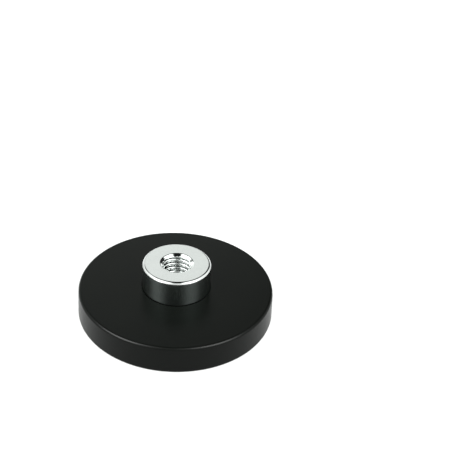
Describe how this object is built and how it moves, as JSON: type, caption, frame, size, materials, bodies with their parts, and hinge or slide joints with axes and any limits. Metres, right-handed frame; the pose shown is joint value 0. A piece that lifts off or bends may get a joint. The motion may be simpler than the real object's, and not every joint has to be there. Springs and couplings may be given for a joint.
{
  "type": "rubber-coated holding magnet",
  "caption": "Flat disc holding magnet in a black rubber jacket, with a short steel bush tapped with a blind thread on its back, so that a fitting can be bolted to a steel surface.",
  "frame": {"origin": "centre of the magnetic face, the plain flat face that grips steel", "axes": "+Z along the axis of the disc and of the thread, out of the mouth of the threaded hole; X and Y lie in the magnetic face, with +X through the middle of magnet_1"},
  "size_m": [0.05, 0.05, 0.0143],
  "materials": {
    "black_rubber": "satin moulded rubber with a very fine grain",
    "zinc_plated_bush": "bright zinc plating over fine turned steel",
    "zinc_plated_plate": "dull zinc plating over punched sheet steel",
    "nickel_plated_magnet": "bright nickel plating"
  },
  "bodies": {
    "root": {"rubber_jacket": "black_rubber", "threaded_bush": "zinc_plated_bush", "base_plate": "zinc_plated_plate", "magnet_1": "nickel_plated_magnet", "magnet_2": "nickel_plated_magnet", "magnet_3": "nickel_plated_magnet", "magnet_4": "nickel_plated_magnet", "magnet_5": "nickel_plated_magnet", "magnet_6": "nickel_plated_magnet", "magnet_7": "nickel_plated_magnet", "magnet_8": "nickel_plated_magnet"}
  },
  "joints": []
}
